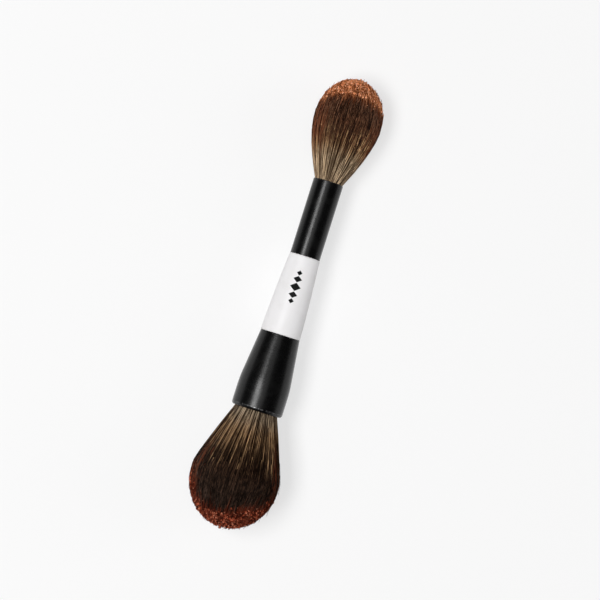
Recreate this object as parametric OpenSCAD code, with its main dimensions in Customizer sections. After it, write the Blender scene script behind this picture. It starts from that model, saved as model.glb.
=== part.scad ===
// A double-ended face brush: a white grip between two black ferrules, each with its own head of hair.
// It lies at rest on a flat surface, on its two soft heads. The long axis runs along X, with the
// narrow end towards +X, and the origin is on the surface under the middle of the brush.
// Sizes are in millimetres.

/* [Grip] */
// Length of the white grip between its two shoulders
grip_len = 34.5; // [28:0.5:60]
// How far the grip stands proud of each ferrule, on the radius
grip_proud = 0.12; // [0:0.02:0.4]
// How far the grip's side bows out from a straight cone
grip_bow = 0.2; // [0:0.05:0.6]
// Radius of the grip's shoulder edges
grip_edge_r = 0.3; // [0.1:0.05:0.6]

/* [Tenons] */
// Share of the narrow ferrule's length that the grip's tenon takes
narrow_tenon_share = 0.4; // [0.34:0.01:0.48]
// Share of the wide ferrule's length that the grip's tenon takes
wide_tenon_share = 0.34; // [0.3:0.01:0.5]
// Width of each glue groove round a tenon
groove_w = 1.6; // [1:0.1:2]
// Depth of each glue groove
groove_depth = 0.6; // [0.3:0.1:1]
// Chamfer at the free end of each tenon
tenon_chamfer = 0.8; // [0.3:0.1:1.2]

/* [Narrow end] */
// Outside diameter of the narrow ferrule
narrow_ferrule_d = 12.9; // [11:0.1:15]
// Length of the narrow ferrule
narrow_ferrule_len = 33; // [26:0.5:45]
// Share of the narrow ferrule's length that the hair's roots take
narrow_root_share = 0.42; // [0.36:0.01:0.46]
// Length of the narrow hair outside the ferrule
narrow_hair_out = 44.8; // [38:0.2:55]
// Widest diameter of the narrow head
narrow_belly_d = 28.4; // [22:0.2:34]
// Distance from the ferrule's mouth to the widest place
narrow_belly_at = 26.5; // [20:0.5:32]
// How soon the narrow head opens out, 1 for a straight cone
narrow_fan_factor = 1.72; // [1:0.02:2]

/* [Wide end] */
// Outside diameter of the wide ferrule where it meets the grip
wide_throat_d = 17; // [15:0.1:19]
// Outside diameter of the wide ferrule at its mouth
wide_mouth_d = 22.1; // [20:0.1:26]
// Length of the wide ferrule
wide_ferrule_len = 33.4; // [29:0.2:45]
// Length over which the wide ferrule flares
wide_flare_len = 25.5; // [18:0.5:28]
// Length over which the flare eases into the straight barrel
wide_flare_ease = 7; // [3:0.5:14]
// How far the rolled-in lip comes in
wide_lip_r = 1; // [0.8:0.1:1.4]
// Length along the brush over which the lip curls in
wide_lip_len = 1.4; // [1:0.1:2]
// Share of the wide ferrule's length that the hair cup takes
cup_share = 0.34; // [0.3:0.01:0.42]
// Length of the wide hair outside the ferrule
wide_hair_out = 50.8; // [42:0.2:62]
// Widest diameter of the wide head
wide_belly_d = 37.8; // [30:0.2:46]
// Distance from the ferrule's mouth to the widest place
wide_belly_at = 29; // [22:0.5:36]
// How soon the wide head opens out, 1 for a straight cone
wide_fan_factor = 1.3; // [1:0.02:2]

/* [Sheet, glue and thread] */
// Wall of the two drawn ferrules
ferrule_wall = 0.4; // [0.3:0.05:0.6]
// Wall of the drawn hair cup
cup_wall = 0.4; // [0.3:0.05:0.6]
// Clearance between pieces that are pushed or glued together
fit = 0.05; // [0.03:0.01:0.1]
// Clearance round the hair
hair_gap = 0.1; // [0.08:0.02:0.25]
// Thickness of the glue round and behind the hair roots
glue_t = 0.7; // [0.5:0.1:1.2]
// How far the glue climbs round the roots
glue_climb = 4.5; // [4:0.5:6]
// Length of free flare at the throat before the joint's glue begins
glue_from = 2; // [1.5:0.5:4]
// Diameter of the binding thread
thread_d = 0.45; // [0.3:0.05:0.6]
// Turns of the binding thread
thread_turns = 5; // [3:1:6]
// Distance of the binding thread from the end of the roots
thread_from = 1; // [0.6:0.1:1.2]

/* [Locks of hair] */
// Height of the locks on the surface of a head
lock_depth = 1; // [0.4:0.1:1.4]
// Distance from the ferrule's mouth over which the locks part
lock_from = 9; // [5:0.5:15]
// How unevenly the locks end on the dome
tip_jitter = 0.6; // [0:0.1:1.2]
// Locks round the narrow head
narrow_locks = 32; // [24:4:40]
// Locks round the wide head
wide_locks = 40; // [28:4:44]

/* [At rest] */
// How far the narrow head gives where it rests
narrow_press = 0.8; // [0.3:0.1:1.5]
// How far the wide head gives where it rests
wide_press = 1; // [0.3:0.1:1.5]

/* [Hidden] */
$fn = 96;

satin_black = [0.035, 0.035, 0.037];
lacquer_white = [0.93, 0.92, 0.93];
bare_aluminium = [0.72, 0.73, 0.75];
clear_resin = [0.86, 0.78, 0.58];
waxed_thread = [0.88, 0.86, 0.8];
narrow_brown = [0.26, 0.18, 0.13];
wide_brown = [0.16, 0.11, 0.08];

// Places along the brush's own axis: zero is the grip's wide shoulder, and the narrow end is positive.
narrow_mouth_z = grip_len + narrow_ferrule_len;
wide_mouth_z = -wide_ferrule_len;
narrow_belly_z = narrow_mouth_z + narrow_belly_at;
wide_belly_z = wide_mouth_z - wide_belly_at;
narrow_tip_z = narrow_mouth_z + narrow_hair_out;
wide_tip_z = wide_mouth_z - wide_hair_out;

// The surface touches both pressed heads, so the axis leans down towards the narrow end.
wide_rest_h = wide_belly_d / 2 - wide_press;
narrow_rest_h = narrow_belly_d / 2 - narrow_press;
tilt = asin((wide_rest_h - narrow_rest_h) / (narrow_belly_z - wide_belly_z));
axis_x = -cos(tilt) * (narrow_tip_z + wide_tip_z) / 2;
axis_h = wide_rest_h + wide_belly_z * sin(tilt);

// Outside radius of the wide ferrule, z from its throat: a cone that eases into a straight barrel.
flare_slope = (wide_mouth_d - wide_throat_d) / 2 / (wide_flare_len - wide_flare_ease / 2);
function flare_r(z) =
    z < wide_flare_len - wide_flare_ease ? wide_throat_d / 2 + flare_slope * z
    : z < wide_flare_len ? wide_mouth_d / 2 - flare_slope / wide_flare_ease / 2 * pow(wide_flare_len - z, 2)
    : wide_mouth_d / 2;

// Lengths and radii that follow from one piece sitting inside another.
narrow_tenon_len = narrow_tenon_share * narrow_ferrule_len;
narrow_root_len = narrow_root_share * narrow_ferrule_len;
wide_tenon_len = wide_tenon_share * wide_ferrule_len;
cup_len = cup_share * wide_ferrule_len;
narrow_bore_r = narrow_ferrule_d / 2 - ferrule_wall;
wide_throat_bore_r = wide_throat_d / 2 - ferrule_wall;
narrow_tenon_r = narrow_bore_r - fit;
wide_tenon_r = wide_throat_bore_r - fit;
cup_base_z = wide_ferrule_len - ferrule_wall - fit - cup_len;
cup_r = flare_r(cup_base_z) - ferrule_wall - fit;
cup_bore_r = cup_r - cup_wall;
lip_bore_r = wide_mouth_d / 2 - wide_lip_r;
// The two grooves of a tenon stand at a quarter and at three fifths of its length.
function groove_at(len, k) = len * (k == 1 ? 0.25 : 0.6) - groove_w / 2;
wide_root_len = wide_ferrule_len - cup_base_z - cup_wall - fit - glue_t - fit;

// Outside radius of the grip, z from its wide shoulder.
grip_wide_r = wide_throat_d / 2 + grip_proud;
grip_narrow_r = narrow_ferrule_d / 2 + grip_proud;
function grip_r(z) =
    let (t = z / grip_len)
    grip_wide_r + (grip_narrow_r - grip_wide_r) * t + 4 * grip_bow * t * (1 - t);

// Points of an arc in the profile plane, from angle a0 to a1, with half axes rx and rz.
function oval_arc(x, z, rx, rz, a0, a1, steps = 8) =
    [for (i = [0:steps]) let (a = a0 + (a1 - a0) * i / steps) [x + rx * cos(a), z + rz * sin(a)]];
function arc(x, z, r, a0, a1, steps = 8) = oval_arc(x, z, r, r, a0, a1, steps);

// Lays the brush down from its own upright axis, or one point of it.
module lay() translate([axis_x, 0, axis_h]) rotate([0, 90 + tilt, 0]) children();
function laid(p) = [
    axis_x + p.z * cos(tilt) - p.x * sin(tilt),
    p.y,
    axis_h - p.z * sin(tilt) - p.x * cos(tilt)
];

// The two ends, each drawn upwards from its own shoulder.
module narrow_end() lay() translate([0, 0, grip_len]) children();
module wide_end() lay() mirror([0, 0, 1]) children();

// Half outline of a tenon drawn upwards from its shoulder, with two grooves for the glue.
function tenon_outline(r, len) = [
    for (k = [1, 2])
        let (z = groove_at(len, k))
        each [[r, z], [r - groove_depth, z], [r - groove_depth, z + groove_w], [r, z + groove_w]],
    [r, len - tenon_chamfer],
    [r - tenon_chamfer, len]
];
function mirrored(outline) = [for (i = [len(outline) - 1:-1:0]) [outline[i].x, -outline[i].y]];
function raised(outline, z) = [for (p = outline) [p.x, p.y + z]];

module grip() {
    steps = 12;
    side = [for (i = [0:steps])
        let (z = grip_edge_r + (grip_len - 2 * grip_edge_r) * i / steps)
        [grip_r(z), z]];
    wide_edge = arc(grip_r(grip_edge_r) - grip_edge_r, grip_edge_r, grip_edge_r, -90, -11.25, 6);
    narrow_edge = arc(
        grip_r(grip_len - grip_edge_r) - grip_edge_r, grip_len - grip_edge_r, grip_edge_r, 11.25, 90, 6);
    color(lacquer_white)
        lay()
            rotate_extrude()
                polygon(concat(
                    [[0, -wide_tenon_len]],
                    mirrored(tenon_outline(wide_tenon_r, wide_tenon_len)),
                    [[wide_tenon_r, 0]],
                    wide_edge, side, narrow_edge,
                    [[narrow_tenon_r, grip_len]],
                    raised(tenon_outline(narrow_tenon_r, narrow_tenon_len), grip_len),
                    [[0, grip_len + narrow_tenon_len]]
                ));
}

// Drawn tube with a small round at the outside of its mouth.
module narrow_ferrule() {
    r = narrow_ferrule_d / 2;
    round_r = ferrule_wall * 0.7;
    color(satin_black)
        narrow_end()
            rotate_extrude()
                polygon(concat(
                    [[narrow_bore_r, fit], [r, fit]],
                    arc(r - round_r, narrow_ferrule_len - round_r, round_r, 0, 90, 5),
                    [[narrow_bore_r, narrow_ferrule_len]]
                ));
}

// Drawn and flared shell, whose mouth is rolled in over the cup.
module wide_ferrule() {
    steps = 26;
    barrel_top = wide_ferrule_len - wide_lip_len;
    lip_x = wide_mouth_d / 2 - wide_lip_r;
    outside = [for (i = [0:steps]) let (z = fit + (barrel_top - fit) * i / steps) [flare_r(z), z]];
    inside = [for (i = [steps:-1:0])
        let (z = fit + (barrel_top - fit) * i / steps) [flare_r(z) - ferrule_wall, z]];
    color(satin_black)
        wide_end()
            rotate_extrude()
                polygon(concat(
                    outside,
                    oval_arc(lip_x, barrel_top, wide_lip_r, wide_lip_len, 9, 90),
                    oval_arc(lip_x, barrel_top, wide_lip_r - ferrule_wall, wide_lip_len - ferrule_wall, 90, 9),
                    inside
                ));
}

// Drawn cup, wedged in the flare and held by the rolled lip.
module wide_hair_cup() {
    cup_top_z = cup_base_z + cup_len - (wide_lip_len - ferrule_wall);
    corner_r = 2 * cup_wall;
    color(bare_aluminium)
        wide_end()
            rotate_extrude()
                polygon(concat(
                    [[0, cup_base_z]],
                    arc(cup_r - corner_r, cup_base_z + corner_r, corner_r, -90, 0),
                    [[cup_r, cup_top_z], [cup_bore_r, cup_top_z]],
                    arc(cup_r - corner_r, cup_base_z + corner_r, corner_r - cup_wall, 0, -90),
                    [[0, cup_base_z + cup_wall]]
                ));
}

// Glue cast round the roots: a shallow dish, z from the back of the glue. Its back edge is bevelled
// to clear the round in the bottom of the cup.
module glue_dish(bore_r) {
    r = bore_r - fit;
    bevel = cup_wall + 2 * fit;
    rotate_extrude()
        polygon([
            [0, 0], [r - bevel, 0], [r, bevel], [r, glue_t + glue_climb],
            [r - glue_t, glue_t + glue_climb], [r - glue_t, glue_t], [0, glue_t]
        ]);
}

module narrow_glue_plug()
    color(clear_resin)
        narrow_end()
            translate([0, 0, narrow_ferrule_len - narrow_root_len - fit - glue_t])
                glue_dish(narrow_bore_r);

module wide_glue_plug()
    color(clear_resin)
        wide_end()
            translate([0, 0, wide_ferrule_len - wide_root_len - fit - glue_t])
                glue_dish(cup_bore_r);

// Radius of the knot of roots inside its glue dish.
function knot_r(bore_r) = bore_r - fit - glue_t - fit;

// The thread bites into the knot, in turns that lie against each other.
thread_bite = thread_d + 2 * fit;
thread_pitch = thread_d * 0.95;
thread_run = (thread_turns - 1) * thread_pitch + thread_d;
module binding(bore_r)
    rotate_extrude()
        for (turn = [0:thread_turns - 1])
            translate([knot_r(bore_r) - thread_bite + fit + thread_d / 2,
                thread_from + thread_d / 2 + turn * thread_pitch])
                circle(d = thread_d, $fn = 24);

module narrow_binding()
    color(waxed_thread)
        narrow_end()
            translate([0, 0, narrow_ferrule_len - narrow_root_len])
                binding(narrow_bore_r);

module wide_binding()
    color(waxed_thread)
        wide_end()
            translate([0, 0, wide_ferrule_len - wide_root_len])
                binding(cup_bore_r);

// Glue that fills the two grooves of the narrow tenon.
module narrow_joint_glue()
    color(clear_resin)
        narrow_end()
            for (k = [1, 2])
                translate([0, 0, groove_at(narrow_tenon_len, k) + fit])
                    difference() {
                        cylinder(r = narrow_tenon_r, h = groove_w - 2 * fit);
                        translate([0, 0, -fit])
                            cylinder(r = narrow_tenon_r - groove_depth + fit, h = groove_w);
                    }

// Glue that fills the wedge between the wide tenon and the flare.
module wide_joint_glue() {
    steps = 8;
    flare_side = [for (i = [0:steps])
        let (z = glue_from + (wide_tenon_len - glue_from) * i / steps)
        [flare_r(z) - ferrule_wall - fit, z]];
    color(clear_resin)
        wide_end()
            rotate_extrude()
                polygon(concat(
                    [[wide_tenon_r + fit, glue_from]],
                    flare_side,
                    [[wide_tenon_r + fit, wide_tenon_len]]
                ));
}

// Outline of a bundle of hair as [distance from the ferrule's mouth, radius, angle over the dome].
// Inside the ferrule it is a knot with a waist for the thread. Outside, it fans to the belly
// and closes in a dome.
fan_rings = 12;
dome_rings = 15;
function knot_outline(bore_r, mouth_r, root_len, lip) =
    let (r = knot_r(bore_r), waist_r = r - thread_bite,
        glue_top = -root_len + glue_climb, shank_r = bore_r - hair_gap)
    [
        [-root_len, r, 0],
        [-root_len + thread_from - fit, r, 0],
        [-root_len + thread_from - fit, waist_r, 0],
        [-root_len + thread_from + thread_run + fit, waist_r, 0],
        [-root_len + thread_from + thread_run + fit, r, 0],
        [glue_top, r, 0],
        [glue_top + glue_t, shank_r, 0],
        [-lip, min(shank_r, mouth_r), 0],
        [0, mouth_r, 0]
    ];
function fan_outline(mouth_r, belly_r, belly_at, fan) =
    [for (i = [1:fan_rings - 1])
        let (t = 1 - pow(1 - i / fan_rings, 1.6))
        [belly_at * t, mouth_r + (belly_r - mouth_r) * (1 - pow(1 - t, fan)), 0]];
function dome_outline(belly_r, belly_at, out) =
    [for (i = [0:dome_rings - 1])
        let (a = 84 * i / (dome_rings - 1))
        [belly_at + (out - belly_at) * sin(a), belly_r * cos(a), a]];

function clamped(x) = max(0, min(1, x));
// Distance between two places on a ring that has n places.
function around(a, b, n) = let (d = abs(a - b) % n) min(d, n - d);

// One bundle: a closed skin of rings. Each lock is a crest that keeps its width and ends in a point
// on the dome, every second one early, so that fewer and fewer reach the crown.
module hair_bundle(mouth_z, way, outline, belly_r, belly_at, out, locks, seed) {
    columns = 3 * locks;
    rings = len(outline);
    crest = rands(0.6, 1, locks, seed);
    wander = rands(-0.45, 0.45, locks, seed + 1);
    ending = rands(-1, 1, locks, seed + 2);
    width = rands(1.25, 2.1, locks, seed + 3);
    shift = rands(-0.6, 0.6, locks, seed + 4);
    lock_pitch = 2 * PI * belly_r / locks;
    ends_at = [for (k = [0:locks - 1])
        (k % 2 == 1 ? 32 : k % 4 == 2 ? 54 : k % 8 == 4 ? 70 : 84) + 9 * ending[k]];

    // Rings have fewer corners in the ferrule and near the crown.
    corners = [for (ring = outline)
        ring.x < 0 ? columns / 4 : ring[2] < 50 ? columns : ring[2] < 71 ? columns / 2 : columns / 4];
    first = [for (j = 0, n = 0; j <= rings; n = n + (j < rings ? corners[j] : 0), j = j + 1) n];

    // Height of the lock that stands highest at place i, from 0 to 1.
    function lock_height(i, r, a) =
        max([for (k = [0:locks - 1])
            let (
                left = clamped((ends_at[k] + 7 - a) / 14),
                half_width = width[k] * lock_pitch / 2 * (0.35 + 0.65 * left),
                away = around(i, 3 * k + 1 + shift[k], columns) * 2 * PI * r / columns
            )
            crest[k] * min(1, 1.6 * left) * max(0, 1 - away / half_width)]);

    // A place on the skin. Hair that reaches the surface it rests on spreads flat there.
    function hair_point(i, ring) =
        let (
            s = ring.x,
            a = ring[2],
            grown = clamped(s / lock_from),
            lift = s <= 0 ? 0 : lock_depth * grown * (lock_height(i, ring.y, a) - 0.62),
            k = floor(i / 3) % locks,
            turn = 360 * (i + wander[k] * clamped(s / belly_at)) / columns,
            reach = ring.y + lift * cos(a),
            along = s + (lift + tip_jitter * ending[(k * 5) % locks]) * sin(a),
            p = laid([reach * cos(turn), reach * sin(turn), mouth_z + way * along])
        )
        [p.x, p.y, max(0, p.z)];

    points = concat(
        [for (j = [0:rings - 1], i = [0:corners[j] - 1]) hair_point(i * columns / corners[j], outline[j])],
        [laid([0, 0, mouth_z + way * out])]
    );
    tip = first[rings];
    faces = concat(
        [[for (i = [0:corners[0] - 1]) i]],
        [for (j = [0:rings - 2])
            let (n = corners[j], m = corners[j + 1], low = first[j], high = first[j + 1],
                q = max(n, m) / min(n, m))
            each m >= n ? [for (i = [0:n - 1])
                each concat(
                    [for (u = [0:q - 1]) [low + i, high + q * i + u, high + (q * i + u + 1) % m]],
                    [[low + i, high + q * (i + 1) % m, low + (i + 1) % n]]
                )] : [for (i = [0:m - 1])
                each concat(
                    [for (u = [0:q - 1]) [low + q * i + u, high + i, low + (q * i + u + 1) % n]],
                    [[low + q * (i + 1) % n, high + i, high + (i + 1) % m]]
                )]],
        [for (i = [0:corners[rings - 1] - 1])
            [first[rings - 1] + i, tip, first[rings - 1] + (i + 1) % corners[rings - 1]]]
    );
    polyhedron(points, [for (f = faces) way > 0 ? f : [for (k = [len(f) - 1:-1:0]) f[k]]]);
}

module narrow_hair()
    color(narrow_brown)
        hair_bundle(
            narrow_mouth_z, 1,
            concat(
                knot_outline(narrow_bore_r, narrow_bore_r - hair_gap, narrow_root_len, ferrule_wall),
                fan_outline(narrow_bore_r - hair_gap, narrow_belly_d / 2, narrow_belly_at, narrow_fan_factor),
                dome_outline(narrow_belly_d / 2, narrow_belly_at, narrow_hair_out)
            ),
            narrow_belly_d / 2, narrow_belly_at, narrow_hair_out, narrow_locks, 11
        );

module wide_hair()
    color(wide_brown)
        hair_bundle(
            wide_mouth_z, -1,
            concat(
                knot_outline(cup_bore_r, lip_bore_r - hair_gap, wide_root_len, wide_lip_len),
                fan_outline(lip_bore_r - hair_gap, wide_belly_d / 2, wide_belly_at, wide_fan_factor),
                dome_outline(wide_belly_d / 2, wide_belly_at, wide_hair_out)
            ),
            wide_belly_d / 2, wide_belly_at, wide_hair_out, wide_locks, 23
        );

grip();
narrow_ferrule();
wide_ferrule();
wide_hair_cup();
narrow_hair();
wide_hair();
narrow_glue_plug();
wide_glue_plug();
narrow_binding();
wide_binding();
narrow_joint_glue();
wide_joint_glue();
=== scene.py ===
import math

import bmesh
import bpy
import numpy as np
from mathutils import Matrix, Vector


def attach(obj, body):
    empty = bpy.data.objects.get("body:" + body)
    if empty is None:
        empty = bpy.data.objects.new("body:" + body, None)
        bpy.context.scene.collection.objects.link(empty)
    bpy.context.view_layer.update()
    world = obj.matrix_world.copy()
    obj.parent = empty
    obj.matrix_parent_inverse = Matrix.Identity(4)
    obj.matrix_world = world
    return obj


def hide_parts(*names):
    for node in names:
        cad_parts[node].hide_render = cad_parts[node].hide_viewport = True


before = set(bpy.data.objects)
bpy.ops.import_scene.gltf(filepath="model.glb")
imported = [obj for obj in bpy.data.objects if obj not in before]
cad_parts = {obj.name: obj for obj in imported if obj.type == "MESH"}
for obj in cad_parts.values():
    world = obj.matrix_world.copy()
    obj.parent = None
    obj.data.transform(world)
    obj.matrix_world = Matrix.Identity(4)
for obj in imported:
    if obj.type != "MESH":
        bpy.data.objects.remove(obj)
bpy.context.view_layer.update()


# The grip is one turned piece of white plastic that tapers from the large end to the small one, with a
# satin lacquer. Handling leaves it faintly smudged, and five small lozenges are pad printed in black
# on the side that lies upwards.

# The brush lies on its two heads, so its own axis leans down a little towards the small one. Each head
# touches the table at a distance from the grip's wide shoulder and a radius below the axis.
shoulder = Vector((-0.014044, 0, 0.016105))
wide_rest_at, wide_rest_radius = -0.0624, 0.0179
narrow_rest_at, narrow_rest_radius = 0.0940, 0.0134
lean = math.asin((wide_rest_radius - narrow_rest_radius) / (narrow_rest_at - wide_rest_at))


def place(tree, kind, inputs=(), **settings):
    """Add a shader node with its settings. Each input is a value, or another node's output to link."""
    made = tree.nodes.new("ShaderNode" + kind)
    for setting, value in settings.items():
        setattr(made, setting, value)
    for socket, value in dict(inputs).items():
        if isinstance(value, bpy.types.NodeSocket):
            tree.links.new(value, made.inputs[socket])
        else:
            made.inputs[socket].default_value = value
    return made


def calc(tree, operation, a, b=0.0, c=0.0, clamp=False):
    inputs = {0: a, 1: b}
    if operation in ("MULTIPLY_ADD", "COMPARE"):
        inputs[2] = c
    return place(tree, "Math", inputs, operation=operation, use_clamp=clamp).outputs[0]


def tint(tree, share, a, b, mode="MIX"):
    return place(tree, "Mix", {0: share, 6: a, 7: b}, data_type="RGBA", blend_type=mode).outputs[2]


def steps(tree, value, low, high, to_low=0.0, to_high=1.0):
    """Rise smoothly from to_low at low to to_high at high."""
    ends = {0: value, 1: low, 2: high, 3: to_low, 4: to_high}
    return place(tree, "MapRange", ends, interpolation_type="SMOOTHSTEP").outputs[0]


def finish_named(name):
    material = bpy.data.materials.new(name)
    material.use_nodes = True
    tree = material.node_tree
    return material, tree, tree.nodes["Principled BSDF"]


def on_brush(tree):
    """Place on the surface as X along the brush from the grip's wide shoulder, Y across and Z up."""
    at = place(tree, "TexCoord").outputs["Object"]
    as_it_lies = {"Vector": at, "Location": shoulder, "Rotation": (0, lean, 0)}
    return place(tree, "Mapping", as_it_lies, vector_type="TEXTURE").outputs[0]


# Smudges from fingers, with the fine ripple that any lacquer has.
handled = bpy.data.node_groups.new("handled_lacquer", "ShaderNodeTree")
for socket, kind, way in (
    ("Vector", "NodeSocketVector", "INPUT"),
    ("Smudge Size", "NodeSocketFloat", "INPUT"),
    ("Ripple Size", "NodeSocketFloat", "INPUT"),
    ("Smudge", "NodeSocketFloat", "OUTPUT"),
    ("Ripple", "NodeSocketFloat", "OUTPUT"),
):
    handled.interface.new_socket(socket, in_out=way, socket_type=kind)
came_in = handled.nodes.new("NodeGroupInput").outputs
blotch = place(
    handled, "TexNoise",
    {"Vector": came_in["Vector"], "Scale": calc(handled, "DIVIDE", 1.0, came_in["Smudge Size"]),
     "Detail": 5.0, "Roughness": 0.6, "Distortion": 0.4},
).outputs[0]
ripple = place(
    handled, "TexNoise",
    {"Vector": came_in["Vector"], "Scale": calc(handled, "DIVIDE", 1.0, came_in["Ripple Size"]),
     "Detail": 2.0},
).outputs[0]
goes_out = handled.nodes.new("NodeGroupOutput").inputs
handled.links.new(steps(handled, blotch, 0.42, 0.68), goes_out["Smudge"])
handled.links.new(ripple, goes_out["Ripple"])


def lacquer(tree, at, smudge_size, ripple_size):
    made = tree.nodes.new("ShaderNodeGroup")
    made.node_tree = handled
    tree.links.new(at, made.inputs["Vector"])
    made.inputs["Smudge Size"].default_value = smudge_size
    made.inputs["Ripple Size"].default_value = ripple_size
    return made.outputs


grip_finish, tree, surface = finish_named("satin_white_lacquer")
at = on_brush(tree)
along, across, up = place(tree, "SeparateXYZ", {0: at}).outputs
marks = lacquer(tree, at, smudge_size=0.006, ripple_size=0.0006)

# Place along the grip, half length and half width of each lozenge. In reach, 1 is the edge of a lozenge
# and less than 1 is inside it.
lozenges = (
    (0.0148, 0.0011, 0.0012), (0.0175, 0.0014, 0.0019), (0.0209, 0.0018, 0.0023),
    (0.0243, 0.0014, 0.0019), (0.0270, 0.0011, 0.0012),
)
ink_blur = 0.04
reach = 9.0
for middle, half_length, half_width in lozenges:
    one = calc(
        tree, "ADD",
        calc(tree, "DIVIDE", calc(tree, "ABSOLUTE", calc(tree, "SUBTRACT", along, middle)), half_length),
        calc(tree, "DIVIDE", calc(tree, "ABSOLUTE", across), half_width),
    )
    reach = calc(tree, "MINIMUM", reach, one)
inked = steps(tree, reach, 1 + ink_blur, 1 - ink_blur)
printed = calc(tree, "MULTIPLY", inked, calc(tree, "GREATER_THAN", up, 0.0), clamp=True)

# Grime gathers where the lacquer meets the two ferrules, and fingers grey it slightly.
grip_length = 0.0345
grime_width, grime_full = 0.0011, 0.0001
end_grime, finger_grime = 0.35, 0.16
from_middle = calc(tree, "ABSOLUTE", calc(tree, "SUBTRACT", along, grip_length / 2))
from_end = calc(tree, "SUBTRACT", grip_length / 2, from_middle)
grime = calc(
    tree, "ADD",
    calc(tree, "MULTIPLY", steps(tree, from_end, grime_width, grime_full), end_grime),
    calc(tree, "MULTIPLY", marks["Smudge"], finger_grime),
    clamp=True,
)
clean_white, grimy_white, ink = (0.905, 0.893, 0.899, 1), (0.74, 0.72, 0.71, 1), (0.002, 0.002, 0.002, 1)
white = tint(tree, grime, clean_white, grimy_white)
tree.links.new(tint(tree, printed, white, ink), surface.inputs["Base Color"])

satin, smudge_dulls, ink_dulls = 0.4, 0.1, 0.4
dullness = calc(tree, "MULTIPLY_ADD", marks["Smudge"], smudge_dulls, satin)
tree.links.new(calc(tree, "MULTIPLY_ADD", printed, ink_dulls, dullness), surface.inputs["Roughness"])
ink_stands = 0.8
raised = calc(tree, "MULTIPLY_ADD", printed, ink_stands, marks["Ripple"])
relief = place(tree, "Bump", {"Height": raised, "Strength": 0.25, "Distance": 0.00002})
tree.links.new(relief.outputs[0], surface.inputs["Normal"])
surface.inputs["Specular IOR Level"].default_value = 0.32
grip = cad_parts["grip"]
grip.data.materials.clear()
grip.data.materials.append(grip_finish)


# The small ferrule is a length of drawn aluminium tube, lacquered satin black. The draw leaves faint
# lines along it, and the lacquer is rubbed thin on the edge of its mouth.

# Lines that run along a drawn tube, and a rubbed edge at its mouth.
drawn = bpy.data.node_groups.new("drawn_and_rubbed", "ShaderNodeTree")
for socket, kind, way in (
    ("Vector", "NodeSocketVector", "INPUT"),
    ("From Rubbed", "NodeSocketFloat", "INPUT"),
    ("Rub Width", "NodeSocketFloat", "INPUT"),
    ("Lines", "NodeSocketFloat", "OUTPUT"),
    ("Rubbed", "NodeSocketFloat", "OUTPUT"),
):
    drawn.interface.new_socket(socket, in_out=way, socket_type=kind)
came_in = drawn.nodes.new("NodeGroupInput").outputs
# Slow along the tube and fine across it.
stretched = place(drawn, "Mapping", {"Vector": came_in["Vector"], "Scale": (60, 2600, 2600)}).outputs[0]
lines = place(drawn, "TexNoise", {"Vector": stretched, "Scale": 1.0, "Detail": 3.0}).outputs[0]
patches = place(
    drawn, "TexNoise", {"Vector": came_in["Vector"], "Scale": 900.0, "Detail": 4.0, "Roughness": 0.7}
).outputs[0]
near = steps(drawn, calc(drawn, "DIVIDE", came_in["From Rubbed"], came_in["Rub Width"]), 1.0, 0.0)
goes_out = drawn.nodes.new("NodeGroupOutput").inputs
drawn.links.new(lines, goes_out["Lines"])
drawn.links.new(
    calc(drawn, "MULTIPLY", near, steps(drawn, patches, 0.44, 0.68), clamp=True), goes_out["Rubbed"]
)


def black_lacquer(name, mouth, way, rub_at, rub_width):
    """Satin black over aluminium. mouth is the place of the rim along the brush and way the direction
    that it faces. The lacquer is rubbed thin over rub_width to each side of rub_at, inside the rim."""
    black, smudged_black = (0.0012, 0.0012, 0.0013, 1), (0.0035, 0.0034, 0.0033, 1)
    rubbed_metal = (0.24, 0.24, 0.245, 1)
    satin, smudge_dulls, line_dulls = 0.23, 0.06, 0.06
    material, tree, surface = finish_named(name)
    at = on_brush(tree)
    along = place(tree, "SeparateXYZ", {0: at}).outputs[0]
    marks = lacquer(tree, at, smudge_size=0.005, ripple_size=0.0005)
    metal = tree.nodes.new("ShaderNodeGroup")
    metal.node_tree = drawn
    tree.links.new(at, metal.inputs["Vector"])
    past = calc(tree, "MULTIPLY_ADD", calc(tree, "SUBTRACT", mouth, along), way, -rub_at)
    tree.links.new(calc(tree, "ABSOLUTE", past), metal.inputs["From Rubbed"])
    metal.inputs["Rub Width"].default_value = rub_width
    worn = metal.outputs["Rubbed"]
    lacquered = tint(tree, calc(tree, "MULTIPLY", marks["Smudge"], 0.5), black, smudged_black)
    tree.links.new(tint(tree, worn, lacquered, rubbed_metal), surface.inputs["Base Color"])
    tree.links.new(worn, surface.inputs["Metallic"])
    duller = calc(tree, "MULTIPLY_ADD", marks["Smudge"], smudge_dulls, satin)
    duller = calc(tree, "MULTIPLY_ADD", metal.outputs["Lines"], line_dulls, duller)
    tree.links.new(duller, surface.inputs["Roughness"])
    raised = calc(tree, "MULTIPLY_ADD", metal.outputs["Lines"], 0.6, marks["Ripple"])
    relief = place(tree, "Bump", {"Height": raised, "Strength": 0.2, "Distance": 0.00002})
    tree.links.new(relief.outputs[0], surface.inputs["Normal"])
    surface.inputs["Specular IOR Level"].default_value = 0.3
    return material


# Places of both ferrules' mouths are along the brush, from the grip's wide shoulder.
narrow_mouth = 0.0675
narrow_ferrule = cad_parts["narrow_ferrule"]
narrow_ferrule.data.materials.clear()
narrow_ferrule.data.materials.append(
    black_lacquer("satin_black_tube", narrow_mouth, 1, rub_at=0.0, rub_width=0.00035)
)


# The large ferrule is drawn from the same aluminium, flared towards its mouth and rolled in over the
# hair cup. It has the same satin black lacquer, rubbed a little on the rolled lip.
wide_mouth = -0.0334
wide_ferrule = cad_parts["wide_ferrule"]
wide_ferrule.data.materials.clear()
wide_ferrule.data.materials.append(
    black_lacquer("satin_black_flare", wide_mouth, -1, rub_at=0.0012, rub_width=0.0004)
)


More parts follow.
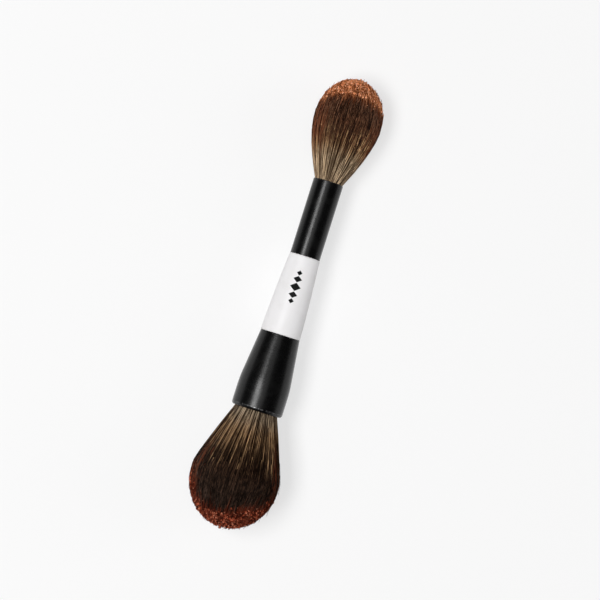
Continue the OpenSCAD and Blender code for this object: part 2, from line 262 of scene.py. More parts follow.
# The cup that holds the large knot of hair is pressed from bare aluminium, and only its edge can be
# made out behind the rolled lip.
cup_finish, tree, surface = finish_named("bare_pressed_aluminium")
at = on_brush(tree)
grey = place(tree, "TexNoise", {"Vector": at, "Scale": 1400.0, "Detail": 3.0}).outputs[0]
dark_grey, pale_grey = (0.46, 0.465, 0.48, 1), (0.62, 0.62, 0.63, 1)
tree.links.new(tint(tree, grey, dark_grey, pale_grey), surface.inputs["Base Color"])
surface.inputs["Metallic"].default_value = 1.0
tree.links.new(steps(tree, grey, 0.3, 0.7, 0.32, 0.5), surface.inputs["Roughness"])
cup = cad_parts["wide_hair_cup"]
cup.data.materials.clear()
cup.data.materials.append(cup_finish)


# Clear epoxy holds the tenons in the ferrules and the knots of hair in the tube and the cup. It has set
# amber, with fine bubbles in it.
resin_finish, tree, surface = finish_named("set_epoxy")
at = on_brush(tree)
bubbles = place(tree, "TexVoronoi", {"Vector": at, "Scale": 1800.0}).outputs["Distance"]
pale_bubble, amber = (0.78, 0.7, 0.5, 1), (0.6, 0.46, 0.2, 1)
tree.links.new(tint(tree, steps(tree, bubbles, 0.1, 0.4), pale_bubble, amber), surface.inputs["Base Color"])
surface.inputs["Roughness"].default_value = 0.22
for name in ("narrow_joint_glue", "wide_joint_glue", "narrow_glue_plug", "wide_glue_plug"):
    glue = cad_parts[name]
    glue.data.materials.clear()
    glue.data.materials.append(resin_finish)


# Each knot of hair is bound with a few turns of waxed thread before it is glued. The twist of the
# thread shows as fine plies.
thread_finish, tree, surface = finish_named("waxed_thread")
at = on_brush(tree)
twist = (0.6, 0, 0.5)
twisted = place(tree, "Mapping", {"Vector": at, "Rotation": twist}).outputs[0]
plies = place(
    tree, "TexWave", {"Vector": twisted, "Scale": 900.0, "Distortion": 1.5, "Detail": 2.0}
).outputs[1]
dark_wax, pale_wax = (0.52, 0.47, 0.36, 1), (0.74, 0.69, 0.57, 1)
tree.links.new(tint(tree, plies, dark_wax, pale_wax), surface.inputs["Base Color"])
surface.inputs["Roughness"].default_value = 0.6
relief = place(tree, "Bump", {"Height": plies, "Strength": 0.4, "Distance": 0.00005})
tree.links.new(relief.outputs[0], surface.inputs["Normal"])
for name in ("narrow_binding", "wide_binding"):
    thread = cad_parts[name]
    thread.data.materials.clear()
    thread.data.materials.append(thread_finish)


# The large head is a fan of some thousands of soft synthetic hairs, cupped to a dome. They are tan at
# the root and dyed nearly black at the tip, and cling together in fine locks. A dark body under them
# stands for the hairs that can't be seen; it is coloured about as dark as the darkest hairs, as
# painted shade between them.

# The fan widens from its radius at the root to that of the belly, belly_at out from the mouth, and is a
# dome from there to out. The larger ease is, the more gently its side turns into the belly. The hairs
# are gathered in locks, and bright is the share of light hairs that lie on top of them.
# Sides are in degrees round the brush, 0 upwards and 90 towards -Y. Powder is caked on the dome beyond
# an angle above the belly for each of the sides, with an edge that is soft over some degrees. Dust is
# the share of the other hairs that carry a film of powder, for each of the dusty sides.
wide_head = {
    "mouth": wide_mouth, "way": -1,
    "root": 0.0091, "belly": 0.0187, "belly_at": 0.029, "out": 0.0506, "ease": 0.12,
    "locks": 168, "bright": 0.018,
    "sides": (-180, -110, -76, -67, -57, -50, -40, 0, 12, 23, 49, 78, 110, 180),
    "powder": (8, 2, 2, 8, 22, 33, 40, 42, 38, 31, 23, 8, 0, 8), "soft": 8,
    "dusty_sides": (-76, -46, 54, 76), "dust": (1.0, 0, 0, 1.0),
}


def head_outline(head, s):
    """Radius of the bundle s metres out from the ferrule's mouth."""
    fanned = np.clip(s / head["belly_at"], 0, 1)
    dome = np.clip((s - head["belly_at"]) / (head["out"] - head["belly_at"]), 0, 1)
    ease = head["ease"]
    short = (np.sqrt((1 - fanned) ** 2 + ease ** 2) - ease) / (math.sqrt(1 + ease ** 2) - ease)
    return (head["belly"] - (head["belly"] - head["root"]) * short) * np.sqrt(1 - dome ** 2)


def lay_down(head, s, radius, turn):
    """Places in the scene of points s out from the mouth, radius from the axis and turn round it, where
    a turn of 0 is downwards."""
    along = head["mouth"] + head["way"] * s
    down = radius * np.cos(turn)
    return np.stack(
        (
            shoulder.x + along * math.cos(lean) - down * math.sin(lean),
            radius * np.sin(turn),
            shoulder.z - along * math.sin(lean) - down * math.cos(lean),
        ),
        axis=-1,
    )


def hair_body(name, head):
    """A closed turned form just under the surface of the head, from inside the ferrule to the dome."""
    inside_ferrule, under_tips, under_side, narrower, above_table = 0.008, 0.0022, 0.0003, 0.9, 0.0004
    inner = dict(head, out=head["out"] - under_tips)
    belly_at = head["belly_at"]
    on_dome = belly_at + (inner["out"] - belly_at) * np.sin(np.linspace(0.1, math.pi / 2, 14))
    places = np.concatenate((np.linspace(-inside_ferrule, belly_at, 16), on_dome))
    radii = narrower * head_outline(inner, places) - under_side
    radii[0] = 0
    radii[-1] = 0
    form = bmesh.new()
    spine = lay_down(head, places, radii, 0.0)
    corners = [form.verts.new(p) for p in spine]
    sides = [form.edges.new(pair) for pair in zip(corners, corners[1:])]
    axis = Vector((math.cos(lean), 0, -math.sin(lean)))
    bmesh.ops.spin(
        form, geom=corners + sides, cent=shoulder, axis=axis, angle=2 * math.pi, steps=72, use_merge=True
    )
    bmesh.ops.remove_doubles(form, verts=form.verts, dist=1e-6)
    bmesh.ops.recalc_face_normals(form, faces=form.faces)
    for corner in form.verts:
        corner.co.z = max(corner.co.z, above_table)
    for face in form.faces:
        face.smooth = True
    mesh = bpy.data.meshes.new(name)
    form.to_mesh(mesh)
    form.free()
    piece = bpy.data.objects.new(name, mesh)
    bpy.context.scene.collection.objects.link(piece)
    return piece


# Turns the drawn line of each hair into a closed three-sided hair of the thickness stored on its points.
hair_maker = bpy.data.node_groups.new("hair_from_line", "GeometryNodeTree")
for way in ("INPUT", "OUTPUT"):
    hair_maker.interface.new_socket("Geometry", in_out=way, socket_type="NodeSocketGeometry")
line = hair_maker.nodes.new("NodeGroupInput")
as_curve = hair_maker.nodes.new("GeometryNodeMeshToCurve")
stored = hair_maker.nodes.new("GeometryNodeInputNamedAttribute")
stored.inputs["Name"].default_value = "thickness"
section = hair_maker.nodes.new("GeometryNodeCurvePrimitiveCircle")
section.inputs["Resolution"].default_value = 3
section.inputs["Radius"].default_value = 0.5
swept = hair_maker.nodes.new("GeometryNodeCurveToMesh")
swept.inputs["Fill Caps"].default_value = True
made = hair_maker.nodes.new("NodeGroupOutput")
for source, target in (
    (line.outputs[0], as_curve.inputs[0]), (as_curve.outputs[0], swept.inputs["Curve"]),
    (section.outputs[0], swept.inputs["Profile Curve"]), (stored.outputs[0], swept.inputs["Scale"]),
    (swept.outputs[0], made.inputs[0]),
):
    hair_maker.links.new(source, target)


def side_of(turn):
    return np.degrees(np.arctan2(-np.sin(turn), -np.cos(turn)))


def powder_depth(head, end, turn):
    """How thickly powder is caked at a place on the dome: below 0 it is clean, above 1 fully covered."""
    return (end - np.interp(side_of(turn), head["sides"], head["powder"])) / head["soft"]


# The UV map of the hairs carries the shade of a hair across, and the place along it upwards, in three
# bands with a margin between them.
clean_band, filmed_band, caked_band = 0, 1, 2
bands, band_margin = 3, 0.02
darkest, lightest = 0.02, 0.98


def comb_hairs(name, head, count, thickness, seed, only_tips=False):
    """One piece of hairs. Each starts in the ferrule, follows the fan and ends somewhere on the dome. Of
    the tips, only the last part is made, which ends on the dome too."""
    chance = np.random.default_rng(seed)
    belly_at, belly, out = head["belly_at"], head["belly"], head["out"]

    # Where each hair ends on the dome, in degrees above the belly, and how far out it runs before that.
    if only_tips:
        rings, more_on_top = 4, 3
        ends = np.degrees(np.arcsin(chance.uniform(0.1, 0.999, count)))
        bowed = chance.uniform(0.0, 0.6, count)
    else:
        rings, more_on_top = 8, 1
        ends = chance.triangular(2, 14, 62, count)
        bowed = chance.uniform(0.4, 1.0, count)
    # A few light and a few dark hairs lie on top and cross the others, and draw fine lines.
    dark_for_each_light = 0.8
    lot = chance.random(count) / more_on_top
    bright = lot < head["bright"]
    dull = (lot >= head["bright"]) & (lot < (1 + dark_for_each_light) * head["bright"])
    on_top = bright | dull
    bowed = np.where(on_top, chance.uniform(0.9, 1.0, count), 0.94 * bowed)
    dome_s = belly_at + (out - belly_at) * np.sin(np.radians(ends))
    dome_r = belly * np.cos(np.radians(ends))
    fraction = dome_r / belly + (1 - dome_r / belly) * bowed

    # The locks are the same ones in each piece of the head, by turns dark and sunk or light and raised,
    # and the light ones are slimmer. The hairs leave a narrow gap between two locks.
    locks = head["locks"]
    slimmer, half_filled, stray_share = 0.85, 0.42, 0.006
    shared = np.random.default_rng(locks)
    lock_width = shared.uniform(0.8, 1.2, locks)
    lock_width[1::2] *= slimmer
    lock_width *= 2 * math.pi / lock_width.sum()
    lock_turn = np.cumsum(lock_width) - lock_width / 2
    lock_shade = shared.uniform(0.0, 0.14, locks)
    lock_shade[1::2] = shared.uniform(0.55, 1.0, locks // 2)
    lock_lift = shared.uniform(-1, 0.2, locks)
    lock_lift[1::2] += 0.9
    lock_sway = shared.normal(0, 1, locks)
    lock = chance.choice(locks, count, p=lock_width / lock_width.sum())
    turn = lock_turn[lock] + chance.uniform(-half_filled, half_filled, count) * lock_width[lock]
    stray = chance.random(count) < stray_share

    # Places along each hair, out from the mouth. They are closer towards its end, by more in some hairs
    # than in others, so that the bends don't lie in a row.
    uneven, tip_length, first_outside, inside_ferrule = 0.0004, 0.013, 0.0003, 0.002
    end_s = dome_s + chance.normal(0, uneven, count) + uneven * lock_lift[lock]
    share = np.linspace(0, 1, rings)
    if only_tips:
        s = end_s[:, None] - tip_length * (1 - share[None, :])
    else:
        outwards = np.clip((share[None, :] - share[1]) / (1 - share[1]), 0, 1)
        outwards = outwards ** chance.uniform(0.7, 1.0, (count, 1))
        s = first_outside + (end_s[:, None] - first_outside) * outwards
        s[:, 0] = -inside_ferrule

    # The hair keeps its share of the fan up to the belly, then bends in to its place on the dome.
    no_dome = dict(head, out=9.0)
    fan_r = fraction[:, None] * head_outline(no_dome, s)
    past = np.clip((s - belly_at) / np.maximum(end_s - belly_at, 0.0005)[:, None], 0, 1)
    bend = 1.8
    bent_r = fraction[:, None] * belly - (fraction * belly - dome_r)[:, None] * past ** bend
    radius = np.where(s < belly_at, fan_r, bent_r)

    # The further from the mouth, the freer it is to leave that line.
    free = np.clip(s / belly_at, 0, 1.4)
    lock_rises, lock_sways = 0.0003, 0.00018
    top_rises, top_crosses = 0.00016, 4.5
    waves_out, waves_aside, leans_aside = 0.00008, 0.0001, 0.00013
    over = np.where(on_top, top_rises, 0)[:, None] * np.clip(free * 6, 0, 1)
    radius += lock_rises * free * lock_lift[lock][:, None] + over
    radius += np.where(stray, chance.uniform(0.0002, 0.0008, count), 0)[:, None] * free ** 2
    waves, first_wave = chance.uniform(2, 7, count), chance.uniform(0, 6.28, count)
    wave = np.sin(share[None, :] * waves[:, None] + first_wave[:, None])
    sideways = waves_aside * wave * free + lock_sways * lock_sway[lock][:, None] * free ** 1.5
    leaning = chance.normal(0, leans_aside, count)[:, None] * free
    sideways += leaning * np.where(on_top, top_crosses, 1)[:, None]
    radius = np.maximum(radius + waves_out * wave * free, 0.0001)
    path = lay_down(head, s, radius, turn[:, None] + sideways / np.maximum(radius, 0.002))
    # The lowest hairs are bent up by the table.
    lowest, highest = 0.0003, 0.0009
    path[..., 2] = np.maximum(path[..., 2], chance.uniform(lowest, highest, count)[:, None])

    # Hairs taper to a soft tip, except those that powder has clotted.
    thick_top, thick_other = chance.uniform(1.1, 1.75, count), chance.uniform(0.7, 1.15, count)
    thick = thickness * np.where(on_top, thick_top, thick_other)[:, None]
    depth_varies, clots_from = 0.4, 0.3
    caked = powder_depth(head, ends, turn) + chance.normal(0, depth_varies, count) > clots_from
    tapered = np.interp(share, (0, 0.75, 1), (1, 0.85, 0.4))
    clotted = np.interp(share, (0, 0.75, 1), (1, 0.9, 0.8)) * chance.uniform(0.7, 1.3, (count, 1))
    thick = thick * np.where(caked[:, None], clotted, tapered)

    dusted = np.interp(side_of(turn), head["dusty_sides"], head["dust"]) > chance.random(count)
    band = np.where(caked, caked_band, np.where(dusted, filmed_band, clean_band))
    # The shade of a hair is mostly its lock's, and a few hairs are much lighter.
    by_lock, by_hair, by_few = 0.54, 0.08, 0.3
    shade = darkest + by_lock * lock_shade[lock] + by_hair * chance.random(count)
    shade += by_few * chance.beta(0.5, 1.4, count)
    light_top, dark_top = chance.uniform(0.7, lightest, count), chance.uniform(darkest, 0.1, count)
    shade = np.where(bright, light_top, np.where(dull, dark_top, shade))
    shade = np.clip(shade, darkest, lightest)
    # A clotted hair is measured by its own length, so that the powder is always on its tip.
    run = np.clip(np.where(band[:, None] == caked_band, s / end_s[:, None], s / out), 0.005, 0.995)
    upwards = (band[:, None] + band_margin + (1 - 2 * band_margin) * run) / bands

    form = bmesh.new()
    layers = [form.verts.layers.float.new(layer) for layer in ("thickness", "shade", "upwards")]
    for places, *values in zip(path, thick, np.broadcast_to(shade[:, None], s.shape), upwards):
        before = None
        for place_on, *point in zip(places, *values):
            corner = form.verts.new(place_on)
            for layer, value in zip(layers, point):
                corner[layer] = value
            if before:
                form.edges.new((before, corner))
            before = corner
    lines = bpy.data.meshes.new(name)
    form.to_mesh(lines)
    form.free()
    piece = bpy.data.objects.new(name, lines)
    bpy.context.scene.collection.objects.link(piece)
    piece.modifiers.new("hairs", "NODES").node_group = hair_maker
    bpy.context.view_layer.update()
    mesh = bpy.data.meshes.new_from_object(piece.evaluated_get(bpy.context.evaluated_depsgraph_get()))
    piece.modifiers.clear()
    piece.data = mesh
    bpy.data.meshes.remove(lines)

    # The three lines of corners along a hair lie side by side on the map, just wide enough to bake.
    strip = 0.001
    corner = np.zeros(len(mesh.loops), np.int32)
    mesh.loops.foreach_get("vertex_index", corner)
    spread = np.zeros((len(corner), 2), np.float32)
    for axis, layer in enumerate(("shade", "upwards")):
        values = np.zeros(len(mesh.vertices), np.float32)
        mesh.attributes[layer].data.foreach_get("value", values)
        spread[:, axis] = values[corner]
    spread[:, 0] += strip * (corner % 3)
    mesh.uv_layers.new(name="OFBake").uv.foreach_set("vector", spread.ravel())
    for layer in ("thickness", "shade", "upwards"):
        mesh.attributes.remove(mesh.attributes[layer])
    mesh.polygons.foreach_set("use_smooth", np.ones(len(mesh.polygons), bool))
    return piece


# Colour of a hair from its shade and the place along it. The dye starts higher on some hairs than on
# others, and the powder is caked on the last few millimetres.
hair_tint = bpy.data.node_groups.new("dyed_hair", "ShaderNodeTree")
for socket, kind, way in (
    ("Root Dark", "NodeSocketColor", "INPUT"),
    ("Root Light", "NodeSocketColor", "INPUT"),
    ("Tip Dark", "NodeSocketColor", "INPUT"),
    ("Tip Light", "NodeSocketColor", "INPUT"),
    ("Film", "NodeSocketColor", "INPUT"),
    ("Powder Dark", "NodeSocketColor", "INPUT"),
    ("Powder Light", "NodeSocketColor", "INPUT"),
    ("Dyed From", "NodeSocketFloat", "INPUT"),
    ("Powder From", "NodeSocketFloat", "INPUT"),
    ("Warm From", "NodeSocketFloat", "INPUT"),
    ("Color", "NodeSocketColor", "OUTPUT"),
    ("Powder", "NodeSocketFloat", "OUTPUT"),
):
    hair_tint.interface.new_socket(socket, in_out=way, socket_type=kind)
came_in = hair_tint.nodes.new("NodeGroupInput").outputs
tree = hair_tint
on_map = place(tree, "UVMap", uv_map="OFBake").outputs[0]
shade, upwards, _ = place(tree, "SeparateXYZ", {0: on_map}).outputs
banded = calc(tree, "MULTIPLY", upwards, float(bands))
band = calc(tree, "FLOOR", banded)
in_band = calc(tree, "FRACT", banded)
run = place(tree, "MapRange", {0: in_band, 1: band_margin, 2: 1 - band_margin}).outputs[0]
filmed = calc(tree, "COMPARE", band, float(filmed_band), 0.5)
powdered = calc(tree, "COMPARE", band, float(caked_band), 0.5)
# Each of 330 shades has a random number of its own, from 0 to 1, by which hairs differ.
shade_count = 330.0
which = calc(tree, "FLOOR", calc(tree, "MULTIPLY", shade, shade_count))
own = place(tree, "TexWhiteNoise", {"W": which}, noise_dimensions="1D").outputs["Value"]


def along_hair(tree, apart, runs):
    """A place for noise that changes so many times along a hair, and starts elsewhere on each hair."""
    furthest_start = 57.0
    started = calc(tree, "MULTIPLY_ADD", own, furthest_start, calc(tree, "MULTIPLY", run, runs))
    return place(tree, "CombineXYZ", {0: calc(tree, "MULTIPLY", own, apart), 1: started}).outputs[0]


# Painted light and shade that rises and dips along each hair.
painted_dips = place(
    tree, "TexNoise",
    {"Vector": along_hair(tree, 400.0, 9.0), "Scale": 1.0, "Detail": 1.0},
    noise_dimensions="2D",
).outputs[0]
# Painted glints along each hair.
painted_glints = place(
    tree, "TexNoise",
    {"Vector": along_hair(tree, 700.0, 24.0), "Scale": 1.0, "Detail": 0.0},
    noise_dimensions="2D",
).outputs[0]

# The root is lighter on light hairs, and warms towards the dye. Along each hair its lightness rises and
# dips as painted light and shade, as if it passed over and under others.
painted_lighting = steps(tree, painted_dips, 0.36, 0.62, 0.4, 1.4)
light = calc(tree, "MULTIPLY", calc(tree, "POWER", shade, 1.7), painted_lighting, clamp=True)
root = tint(tree, light, came_in["Root Dark"], came_in["Root Light"])
warm = steps(tree, calc(tree, "SUBTRACT", run, came_in["Warm From"]), 0.0, 0.2)
warm_root = (1.0, 0.8, 0.61, 1)
root = tint(tree, warm, root, warm_root, "MULTIPLY")

# The tip is nearly black, and warmer where the dye starts. Light hairs stay a little lighter there, and
# lighter flecks on it are painted glints, stronger towards the end.
often = steps(tree, own, 0.3, 0.95, 0.1, 0.9)
at_least = calc(tree, "MULTIPLY", calc(tree, "POWER", light, 2.0), 0.55)
glint_and_tone = calc(tree, "MULTIPLY_ADD", steps(tree, painted_glints, 0.48, 0.68), often, at_least, clamp=True)
late = steps(tree, run, 0.5, 0.82)
glint_and_tone = calc(tree, "MULTIPLY", glint_and_tone, calc(tree, "MULTIPLY_ADD", late, 0.5, 0.75))
tip = tint(tree, glint_and_tone, came_in["Tip Dark"], came_in["Tip Light"])
warm_tip = (1.0, 0.85, 0.7, 1)
tip = tint(tree, calc(tree, "SUBTRACT", 1.0, late), tip, warm_tip, "MULTIPLY")

# The dye starts at a place of its own on each hair, and a little later still on light hairs.
dye_varies, later_on_light = 0.28, 0.04
dyed_from = calc(
    tree, "ADD", came_in["Dyed From"], calc(tree, "MULTIPLY_ADD", own, dye_varies, -dye_varies / 2)
)
dyed_from = calc(
    tree, "MULTIPLY_ADD", own, steps(tree, shade, 0.6, 0.8, 0.0, later_on_light), dyed_from
)
dye = steps(tree, calc(tree, "SUBTRACT", run, dyed_from), -0.11, 0.09)
plain = tint(tree, dye, root, tip)

# The film of powder thickens along the hair, by more on some than on others, and thins at the tip.
film = calc(tree, "MULTIPLY", filmed, steps(tree, run, 0.1, 0.5, 0.12, 0.92))
taken = calc(tree, "MULTIPLY_ADD", late, -0.3, calc(tree, "MULTIPLY_ADD", own, 0.7, 0.3))
film = calc(tree, "MULTIPLY", film, taken, clamp=True)
dusty = tint(tree, film, plain, came_in["Film"])

# Caked powder hides the tip, and leaves a film on the hair just before it.
cake_from = calc(tree, "ADD", came_in["Powder From"], calc(tree, "MULTIPLY_ADD", own, 0.17, -0.08))
past_edge = calc(tree, "SUBTRACT", run, cake_from)
cake = calc(tree, "MULTIPLY", powdered, steps(tree, past_edge, -0.03, 0.04), clamp=True)
before_cake = calc(tree, "MULTIPLY", powdered, steps(tree, run, 0.78, 0.97, 0.0, 0.6))
dusty = tint(tree, before_cake, dusty, came_in["Film"])
powder = tint(tree, steps(tree, own, 0.25, 0.85), came_in["Powder Dark"], came_in["Powder Light"])
goes_out = tree.nodes.new("NodeGroupOutput").inputs
tree.links.new(tint(tree, cake, dusty, powder), goes_out["Color"])
tree.links.new(calc(tree, "MAXIMUM", cake, film), goes_out["Powder"])


def hair_finish(name, **values):
    """Dyed hair. The values are the group's inputs, in small letters and with _ for a space."""
    material, tree, surface = finish_named(name)
    made = tree.nodes.new("ShaderNodeGroup")
    made.node_tree = hair_tint
    for socket, value in values.items():
        made.inputs[socket.replace("_", " ").title()].default_value = value
    tree.links.new(made.outputs["Color"], surface.inputs["Base Color"])
    hair_dull, powder_dull = 0.45, 0.9
    dull = steps(tree, made.outputs["Powder"], 0, 1, hair_dull, powder_dull)
    tree.links.new(dull, surface.inputs["Roughness"])
    surface.inputs["Specular IOR Level"].default_value = 0.05
    return material


def body_finish(name, head, root, tip, dyed_at):
    """The hairs under the surface, dyed like the others and dark with painted shade between them."""
    dye_edge = 0.012
    material, tree, surface = finish_named(name)
    at = on_brush(tree)
    along = place(tree, "SeparateXYZ", {0: at}).outputs[0]
    out = calc(tree, "MULTIPLY", calc(tree, "SUBTRACT", along, head["mouth"]), head["way"])
    fine = place(tree, "Mapping", {"Vector": at, "Scale": (80, 3000, 3000)}).outputs[0]
    streaks = place(tree, "TexNoise", {"Vector": fine, "Scale": 1.0, "Detail": 3.0}).outputs[0]
    dyed = calc(tree, "MULTIPLY_ADD", streaks, dye_edge, out)
    shaded = tint(tree, steps(tree, dyed, dyed_at, dyed_at + dye_edge), root, tip)
    lighter = calc(tree, "MULTIPLY_ADD", streaks, 1.2, 0.4)
    streaked = place(tree, "CombineColor", {0: lighter, 1: lighter, 2: lighter}).outputs[0]
    tree.links.new(tint(tree, 1.0, shaded, streaked, "MULTIPLY"), surface.inputs["Base Color"])
    surface.inputs["Roughness"].default_value = 0.8
    surface.inputs["Specular IOR Level"].default_value = 0.1
    return material


wide_body = hair_body("wide_hair_body", wide_head)
# The body's dark colour is painted shade between the hairs.
wide_body.data.materials.append(
    body_finish(
        "wide_hair_painted_shade", wide_head, root=(0.02, 0.011, 0.005, 1), tip=(0.006, 0.003, 0.002, 1),
        dyed_at=0.016,
    )
)
wide_finish = hair_finish(
    "wide_dyed_hair",
    root_dark=(0.012, 0.0055, 0.002, 1), root_light=(0.63, 0.475, 0.32, 1), warm_from=0.02,
    tip_dark=(0.005, 0.0023, 0.0012, 1), tip_light=(0.115, 0.07, 0.05, 1),
    film=(0.25, 0.07, 0.033, 1), dyed_from=0.338,
    powder_dark=(0.035, 0.006, 0.003, 1), powder_light=(0.22, 0.04, 0.017, 1), powder_from=0.9,
)
wide_hairs = [
    comb_hairs("wide_hairs_under", wide_head, count=3000, thickness=0.00026, seed=3),
    comb_hairs("wide_hairs_over", wide_head, count=4300, thickness=0.00024, seed=4),
    comb_hairs("wide_hair_tips", wide_head, count=7500, thickness=0.00022, seed=5, only_tips=True),
]
for piece in wide_hairs:
    piece.data.materials.append(wide_finish)
for piece in [wide_body] + wide_hairs:
    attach(piece, "root")
    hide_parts("wide_hair")


# Rust red powder is caked on the large head where it was last dipped. It clings to the hair tips in
# small soft crumbs, a few of them together.
def powder_crumbs(name, head, clumps, size, seed):
    """Clumps of crumbs that sit on the hair tips. Each crumb has a small cell of the UV map to itself."""
    chance = np.random.default_rng(seed)
    # Of many places all over the dome, those are kept where powder is caked, and a few just outside.
    tries, least_cake, few = 9 * clumps, -0.7, 0.09
    ends = np.degrees(np.arcsin(chance.uniform(-0.25, 0.999, tries)))
    turns = chance.uniform(0, 2 * math.pi, tries)
    caked = powder_depth(head, ends, turns)
    kept = chance.random(tries) < np.where(caked > least_cake, np.maximum(caked, few), 0)
    ends, turns = ends[kept][:clumps], turns[kept][:clumps]
    in_clump = chance.integers(1, 6, len(ends))
    ends, turns = np.repeat(ends, in_clump), np.repeat(turns, in_clump)
    count = len(ends)
    spread = 0.00042
    on_dome = head["out"] - head["belly_at"]
    s = head["belly_at"] + on_dome * np.sin(np.radians(ends)) + chance.normal(0, spread, count)
    radius = head_outline(head, s)
    turns = turns + chance.normal(0, spread, count) / np.maximum(radius, 0.0015)
    depth = chance.uniform(-0.0002, 0.0003, count)
    halves = size * np.clip(chance.lognormal(-0.1, 0.4, count), 0.4, 2.2)
    places = lay_down(head, s + depth, np.maximum(radius + depth, 0), turns)
    held_up = 1.7
    places[:, 2] = np.maximum(places[:, 2], held_up * halves)
    squashes = chance.uniform(0.65, 1.3, (count, 3))
    axes, angles = chance.normal(0, 1, (count, 3)), chance.uniform(0, 6.28, count)
    # The cells of the map are in as many rows as columns, and a crumb fills the middle of its cell. The
    # mesh is made a batch at a time, because the operator slows down as a mesh grows.
    cells = math.ceil(math.sqrt(count))
    batch = 200
    rough, in_cell, deep_in_cell = 0.14, 0.25, 0.4
    whole = bmesh.new()
    whole.loops.layers.uv.new("OFBake")
    for first in range(0, count, batch):
        form = bmesh.new()
        layer = form.loops.layers.uv.new("OFBake")
        for n in range(first, min(first + batch, count)):
            middle = Vector(places[n])
            turned = Matrix.Rotation(angles[n], 4, Vector(axes[n])) @ Matrix.Diagonal((*squashes[n], 1))
            grown = bmesh.ops.create_icosphere(
                form, subdivisions=1, radius=halves[n], matrix=Matrix.Translation(middle) @ turned
            )["verts"]
            left, low = (n % cells + 0.5) / cells, (n // cells + 0.5) / cells
            for corner, push in zip(grown, chance.normal(0, rough * halves[n], (len(grown), 3))):
                corner.co += Vector(push)
                off = (corner.co - middle) * (in_cell / halves[n] / cells)
                for loop in corner.link_loops:
                    loop[layer].uv = (left + off.x, low + off.y + deep_in_cell * off.z)
        mesh = bpy.data.meshes.new(name)
        form.to_mesh(mesh)
        form.free()
        whole.from_mesh(mesh)
        bpy.data.meshes.remove(mesh)
    mesh = bpy.data.meshes.new(name)
    whole.to_mesh(mesh)
    whole.free()
    piece = bpy.data.objects.new(name, mesh)
    bpy.context.scene.collection.objects.link(piece)
    return piece, cells


def powder_finish(name, cells, dark, middle, light):
    """Dull powder in which each crumb has a colour of its own, from dark over middle to light."""
    material, tree, surface = finish_named(name)
    on_map = place(tree, "UVMap", uv_map="OFBake").outputs[0]
    across, upwards, _ = place(tree, "SeparateXYZ", {0: on_map}).outputs
    column = calc(tree, "FLOOR", calc(tree, "MULTIPLY", across, float(cells)))
    row = calc(tree, "FLOOR", calc(tree, "MULTIPLY", upwards, float(cells)))
    cell = place(tree, "CombineXYZ", {0: column, 1: row}).outputs[0]
    own = place(tree, "TexWhiteNoise", {"Vector": cell}, noise_dimensions="2D").outputs["Value"]
    warm = tint(tree, steps(tree, own, 0.0, 0.55), dark, middle)
    tree.links.new(tint(tree, steps(tree, own, 0.55, 1.0), warm, light), surface.inputs["Base Color"])
    surface.inputs["Roughness"].default_value = 0.95
    surface.inputs["Specular IOR Level"].default_value = 0.1
    return material


wide_powder, cells = powder_crumbs("wide_powder_crumbs", wide_head, clumps=1700, size=0.00023, seed=21)
wide_powder.data.materials.append(
    powder_finish(
        "rust_powder", cells,
        dark=(0.03, 0.005, 0.0025, 1), middle=(0.4, 0.08, 0.035, 1), light=(0.68, 0.24, 0.14, 1),
    )
)
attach(wide_powder, "root")


# The small head is a fan of softer, browner hair, bound, cupped and dyed in the same way as the large
# one. Its knot fills the tube, and it widens more evenly from there.
narrow_head = {
    "mouth": narrow_mouth, "way": 1,
    "root": 0.0059, "belly": 0.014, "belly_at": 0.0265, "out": 0.0446, "ease": 0.55,
    "locks": 136, "bright": 0.024,
    "sides": (-180, -110, -80, -60, -40, 0, 40, 60, 80, 110, 180),
    "powder": (14, 8, 16, 23, 27, 32, 32, 28, 18, 8, 14), "soft": 8,
    "dusty_sides": (-76, -26, 40, 76), "dust": (1.0, 0, 0, 0.75),
}
narrow_body = hair_body("narrow_hair_body", narrow_head)
# The body's dark colour is painted shade between the hairs.
narrow_body.data.materials.append(
    body_finish(
        "narrow_hair_painted_shade", narrow_head, root=(0.04, 0.022, 0.01, 1), tip=(0.014, 0.006, 0.0035, 1),
        dyed_at=0.015,
    )
)
narrow_finish = hair_finish(
    "narrow_dyed_hair",
    root_dark=(0.038, 0.019, 0.007, 1), root_light=(0.86, 0.63, 0.4, 1), warm_from=0.2,
    tip_dark=(0.017, 0.0065, 0.0027, 1), tip_light=(0.36, 0.178, 0.105, 1),
    film=(0.31, 0.095, 0.044, 1), dyed_from=0.375,
    powder_dark=(0.21, 0.052, 0.017, 1), powder_light=(1.0, 0.41, 0.18, 1), powder_from=0.9,
)
narrow_hairs = [
    comb_hairs("narrow_hairs", narrow_head, count=4300, thickness=0.00022, seed=7),
    comb_hairs("narrow_hair_tips", narrow_head, count=6500, thickness=0.0002, seed=8, only_tips=True),
]
for piece in narrow_hairs:
    piece.data.materials.append(narrow_finish)
for piece in [narrow_body] + narrow_hairs:
    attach(piece, "root")
    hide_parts("narrow_hair")


# A lighter terracotta powder is caked on the crown of the small head, and clings to its tips in the same
# small crumbs.
narrow_powder, cells = powder_crumbs(
    "narrow_powder_crumbs", narrow_head, clumps=1200, size=0.00024, seed=31
)
narrow_powder.data.materials.append(
    powder_finish(
        "terracotta_powder", cells,
        dark=(0.36, 0.1, 0.033, 1), middle=(0.98, 0.385, 0.165, 1), light=(1.0, 0.54, 0.32, 1),
    )
)
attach(narrow_powder, "root")


# The brush lies on a plain white table under three soft lamps, and the room is pale at table height.
# To the camera and in reflections, both are brighter than the light that they throw on the brush.


def ray_kinds(tree):
    """1 for the camera's own rays, and 1 for rays that a surface has mirrored or let through."""
    ray = place(tree, "LightPath").outputs
    mirrored = calc(tree, "MAXIMUM", ray["Is Glossy Ray"], ray["Is Transmission Ray"])
    return ray["Is Camera Ray"], mirrored


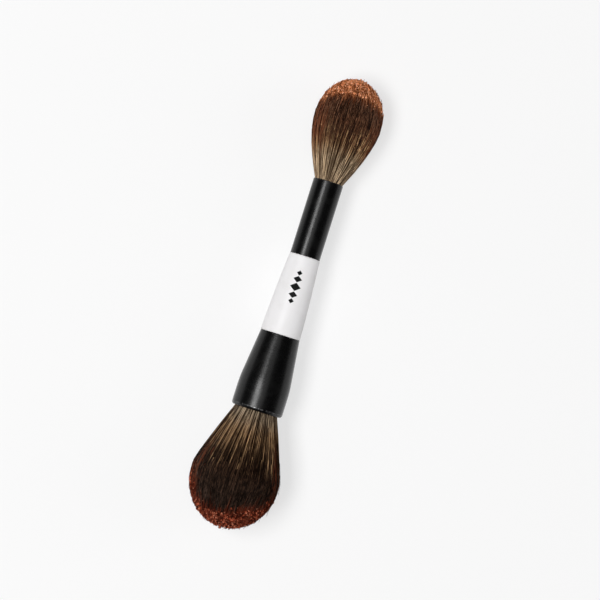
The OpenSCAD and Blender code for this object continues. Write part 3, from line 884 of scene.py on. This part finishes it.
floor_mesh = bpy.data.meshes.new("floor")
form = bmesh.new()
bmesh.ops.create_grid(form, x_segments=1, y_segments=1, size=4.0)
form.to_mesh(floor_mesh)
form.free()
floor = bpy.data.objects.new("floor", floor_mesh)
bpy.context.scene.collection.objects.link(floor)
floor_finish, tree, surface = finish_named("white_table")
surface.inputs["Base Color"].default_value = (0.9, 0.9, 0.9, 1)
surface.inputs["Roughness"].default_value = 0.9
surface.inputs["Specular IOR Level"].default_value = 0.0
from_camera, mirrored = ray_kinds(tree)
seen = calc(tree, "MAXIMUM", from_camera, mirrored)
glow = place(tree, "Emission", {"Color": (1, 1, 1, 1), "Strength": 1.0})
on_floor = place(tree, "TexCoord").outputs["Object"]
far = place(tree, "VectorMath", {0: on_floor}, operation="LENGTH").outputs[1]
near_glow, far_glow = 0.68, 1.0
glowing = calc(tree, "MULTIPLY", seen, steps(tree, far, 0.12, 0.5, near_glow, far_glow))
both = place(tree, "MixShader", {0: glowing, 1: surface.outputs[0], 2: glow.outputs[0]})
tree.links.new(both.outputs[0], tree.nodes["Material Output"].inputs["Surface"])
floor.data.materials.append(floor_finish)

world = bpy.data.worlds.new("pale_room")
bpy.context.scene.world = world
world.use_nodes = True
tree = world.node_tree
direction = place(tree, "TexCoord").outputs["Generated"]
height = place(tree, "SeparateXYZ", {0: direction}).outputs[2]
from_camera, mirrored = ray_kinds(tree)
pale_to, horizon_light, ceiling_light = 0.12, 0.12, 0.05
mirrored = calc(tree, "MULTIPLY", mirrored, steps(tree, height, pale_to, 0.0))
seen = calc(tree, "MAXIMUM", from_camera, mirrored)
room = calc(tree, "MAXIMUM", steps(tree, height, 0.1, 0.5, horizon_light, ceiling_light), seen)
room_grey = place(tree, "CombineColor", {0: room, 1: room, 2: room}).outputs[0]
tree.links.new(room_grey, tree.nodes["Background"].inputs["Color"])
tree.nodes["Background"].inputs["Strength"].default_value = 1.0

# Right and up are those of the image. Each lamp has a length, a width, a power and a place, and is
# aimed at the brush.
camera_turn = math.radians(-72.5)
image_right = Vector((math.cos(camera_turn), math.sin(camera_turn), 0))
image_up = Vector((-math.sin(camera_turn), math.cos(camera_turn), 0))
lit_point = Vector((0, 0, 0.02))
for name, length, width, energy, at in (
    ("soft_box", 0.8, 0.42, 15.8, -0.46 * image_right + Vector((0, 0, 1.3))),
    ("panel", 0.8, 0.5, 1.3, 0.12 * image_right + Vector((0, 0, 1.3))),
    ("fill", 0.7, 0.7, 2.8, 1.15 * image_right + Vector((0, 0, 0.5))),
):
    lamp_data = bpy.data.lights.new(name, "AREA")
    lamp_data.shape = "RECTANGLE"
    lamp_data.size = length
    lamp_data.size_y = width
    lamp_data.energy = energy
    lamp = bpy.data.objects.new(name, lamp_data)
    bpy.context.scene.collection.objects.link(lamp)
    lamp.location = at
    lamp.rotation_euler = (lit_point - at).to_track_quat("-Z", "Y").to_euler()
    lamp.visible_glossy = name != "fill"

# The camera looks straight down, with the small end up and to the right.
camera_height, aim_right, aim_up = 1.018, 0.00407, 0.00126
camera_data = bpy.data.cameras.new("camera")
camera_data.sensor_width = 36.0
camera_data.lens = 142.9
camera = bpy.data.objects.new("camera", camera_data)
bpy.context.scene.collection.objects.link(camera)
camera.location = aim_right * image_right + aim_up * image_up + Vector((0, 0, camera_height))
camera.rotation_euler = (0, 0, camera_turn)
bpy.context.scene.camera = camera
bpy.context.scene.view_settings.view_transform = "Standard"
